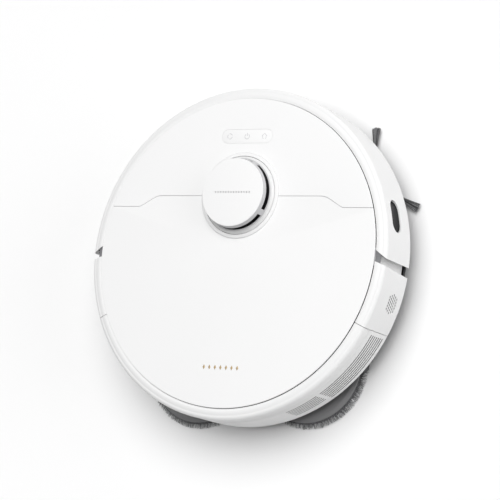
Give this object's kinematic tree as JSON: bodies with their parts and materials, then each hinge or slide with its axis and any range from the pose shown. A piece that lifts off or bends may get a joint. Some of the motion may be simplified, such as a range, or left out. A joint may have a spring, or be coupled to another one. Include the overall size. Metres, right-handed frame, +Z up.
{
  "type": "robot vacuum",
  "caption": "Round white robot vacuum with a raised laser turret, sprung bumper, side brush, roller brush, lift-off lid over a dust bin, and two spinning mops.",
  "frame": {"origin": "centre of the round body, on the floor that it stands on", "axes": "+Z up; +Y forwards, towards the bumper; +X to the right of the robot"},
  "size_m": [0.35, 0.35, 0.0969],
  "materials": {
    "white_plastic": "white ABS with a fine satin surface",
    "pale_plastic": "light grey moulded plastic with a fine grain",
    "grey_plastic": "mid grey moulded plastic",
    "dark_plastic": "dark grey moulded plastic with a fine grain",
    "black_gloss": "infrared-clear black plastic, polished",
    "rubber": "matt black rubber",
    "steel": "bright spring steel",
    "motor_can": "grey motor and gear housing",
    "mop_fabric": "grey microfibre pile with a lighter fringe",
    "bristle": "dark nylon bristles",
    "smoked_plastic": "smoked see-through plastic",
    "filter_paper": "pleated white filter paper",
    "circuit_board": "green circuit board",
    "battery_wrap": null
  },
  "bodies": {
    "root": {"chassis": "dark_plastic", "top_deck": "pale_plastic", "bumper_guide": "white_plastic", "side_shell_left": "white_plastic", "side_shell_right": "white_plastic", "rear_cover": "white_plastic", "front_cover": "white_plastic", "turret_ring": "white_plastic", "lidar_base": "dark_plastic", "front_sensor_module": "dark_plastic", "main_board": "circuit_board", "battery": "battery_wrap", "speaker": "dark_plastic", "caster_socket": "dark_plastic", "wheel_bracket_left": "dark_plastic", "wheel_bracket_right": "dark_plastic", "suspension_spring_left": "steel", "suspension_spring_right": "steel", "bumper_spring_left": "steel", "bumper_spring_right": "steel", "mop_gearbox": "dark_plastic", "fan_housing": "dark_plastic", "water_tank": "smoked_plastic", "side_brush_motor": "dark_plastic"},
    "bumper": {"bumper": "white_plastic", "side_sensor_window": "black_gloss", "front_sensor_window": "black_gloss"},
    "turret": {"turret_cap": "white_plastic"},
    "laser_head": {"lidar_rotor": "black_gloss"},
    "button_carrier": {"button_carrier": "pale_plastic"},
    "buttons": {"button_strip": "white_plastic"},
    "lid": {"top_lid": "white_plastic"},
    "bin": {"dust_bin": "smoked_plastic", "bin_cover": "pale_plastic", "bin_filter": "filter_paper"},
    "impeller": {"fan_impeller": "grey_plastic"},
    "brush_head": {"brush_housing": "dark_plastic", "brush_guard": "dark_plastic", "brush_motor": "motor_can"},
    "roller": {"roller_core": "grey_plastic", "roller_fins": "rubber"},
    "latch_left": {"guard_latch_left": "grey_plastic"},
    "latch_right": {"guard_latch_right": "grey_plastic"},
    "side_brush": {"side_brush_hub": "dark_plastic", "side_brush_bristles": "bristle"},
    "arm_left": {"wheel_arm_left": "grey_plastic"},
    "wheel_left": {"wheel_hub_left": "grey_plastic", "wheel_tyre_left": "rubber"},
    "arm_right": {"wheel_arm_right": "grey_plastic"},
    "wheel_right": {"wheel_hub_right": "grey_plastic", "wheel_tyre_right": "rubber"},
    "caster": {"caster_fork": "grey_plastic", "caster_axle": "steel"},
    "caster_wheel": {"caster_wheel": "rubber"},
    "mop_lift_left": {"mop_carrier_left": "grey_plastic"},
    "mop_left": {"mop_plate_left": "dark_plastic", "mop_pad_left": "mop_fabric"},
    "mop_lift_right": {"mop_carrier_right": "grey_plastic"},
    "mop_right": {"mop_plate_right": "dark_plastic", "mop_pad_right": "mop_fabric"}
  },
  "joints": [
    {"name": "bumper_press", "type": "slide", "parent": "root", "child": "bumper", "axis": [0, -1, 0], "range_m": [0, 0.004], "stiffness_N_per_m": 400, "springref_m": -0.004, "deforming": ["bumper_spring_left", "bumper_spring_right"]},
    {"name": "turret_press", "type": "slide", "parent": "root", "child": "turret", "axis": [0, 0, -1], "range_m": [0, 0.0012], "stiffness_N_per_m": 1500, "springref_m": -0.0006},
    {"name": "laser_spin", "type": "hinge", "parent": "root", "child": "laser_head", "pos_m": [0, 0.0593, 0.086], "axis": [0, 0, 1], "continuous": true},
    {"name": "button_press", "type": "slide", "parent": "root", "child": "button_carrier", "axis": [0, 0, -1], "range_m": [0, 0.0005], "stiffness_N_per_m": 1500, "springref_m": -0.0004},
    {"name": "button_rock", "type": "hinge", "parent": "button_carrier", "child": "buttons", "pos_m": [0.0007, 0.1222, 0.0776], "axis": [0, 1, 0], "range_deg": [-1, 1], "stiffness_Nm_per_rad": 0.05},
    {"name": "lid_lift", "type": "slide", "parent": "root", "child": "lid", "axis": [0, 0, 1], "range_m": [0, 0.11]},
    {"name": "bin_lift", "type": "slide", "parent": "root", "child": "bin", "axis": [0, 0, 1], "range_m": [0, 0.066]},
    {"name": "fan_spin", "type": "hinge", "parent": "root", "child": "impeller", "pos_m": [0.108, -0.08, 0.06], "axis": [0, 0, 1], "continuous": true},
    {"name": "brush_float", "type": "slide", "parent": "root", "child": "brush_head", "axis": [0, 0, 1], "range_m": [0, 0.004]},
    {"name": "roller_spin", "type": "hinge", "parent": "brush_head", "child": "roller", "pos_m": [0, 0.008, 0.025], "axis": [1, 0, 0], "continuous": true},
    {"name": "latch_left_slide", "type": "slide", "parent": "brush_head", "child": "latch_left", "axis": [1, 0, 0], "range_m": [0, 0.0025], "stiffness_N_per_m": 300, "springref_m": -0.001},
    {"name": "latch_right_slide", "type": "slide", "parent": "brush_head", "child": "latch_right", "axis": [-1, 0, 0], "range_m": [0, 0.0025], "stiffness_N_per_m": 300, "springref_m": -0.001},
    {"name": "side_brush_spin", "type": "hinge", "parent": "root", "child": "side_brush", "pos_m": [0.1145, 0.0889, 0.007], "axis": [0, 0, 1], "continuous": true},
    {"name": "wheel_drop_left", "type": "hinge", "parent": "root", "child": "arm_left", "pos_m": [-0.1035, 0.032, 0.044], "axis": [1, 0, 0], "range_deg": [0, 18], "stiffness_Nm_per_rad": 0.15, "springref_deg": 18.91},
    {"name": "wheel_spin_left", "type": "hinge", "parent": "arm_left", "child": "wheel_left", "pos_m": [-0.1265, -0.008, 0.036], "axis": [1, 0, 0], "continuous": true},
    {"name": "mop_lift_left", "type": "slide", "parent": "root", "child": "mop_lift_left", "axis": [0, 0, 1], "range_m": [0, 0.0105]},
    {"name": "mop_spin_left", "type": "hinge", "parent": "mop_lift_left", "child": "mop_left", "pos_m": [-0.0669, -0.1103, 0.01], "axis": [0, 0, 1], "continuous": true},
    {"name": "wheel_drop_right", "type": "hinge", "parent": "root", "child": "arm_right", "pos_m": [0.1035, 0.032, 0.044], "axis": [1, 0, 0], "range_deg": [0, 18], "stiffness_Nm_per_rad": 0.15, "springref_deg": 18.91},
    {"name": "wheel_spin_right", "type": "hinge", "parent": "arm_right", "child": "wheel_right", "pos_m": [0.1265, -0.008, 0.036], "axis": [1, 0, 0], "continuous": true},
    {"name": "mop_lift_right", "type": "slide", "parent": "root", "child": "mop_lift_right", "axis": [0, 0, 1], "range_m": [0, 0.0105]},
    {"name": "mop_spin_right", "type": "hinge", "parent": "mop_lift_right", "child": "mop_right", "pos_m": [0.062, -0.1041, 0.01], "axis": [0, 0, 1], "continuous": true},
    {"name": "caster_swivel", "type": "hinge", "parent": "root", "child": "caster", "pos_m": [0, 0.125, 0.033], "axis": [0, 0, 1], "continuous": true},
    {"name": "caster_roll", "type": "hinge", "parent": "caster", "child": "caster_wheel", "pos_m": [0, 0.118, 0.015], "axis": [1, 0, 0], "continuous": true}
  ],
  "couplings": [
    {"joint": "bin_lift", "follows": "lid_lift", "ratio": 0.6},
    {"joint": "mop_lift_left", "follows": "mop_lift_right", "ratio": 1},
    {"joint": "mop_spin_left", "follows": "mop_spin_right", "ratio": -1}
  ]
}
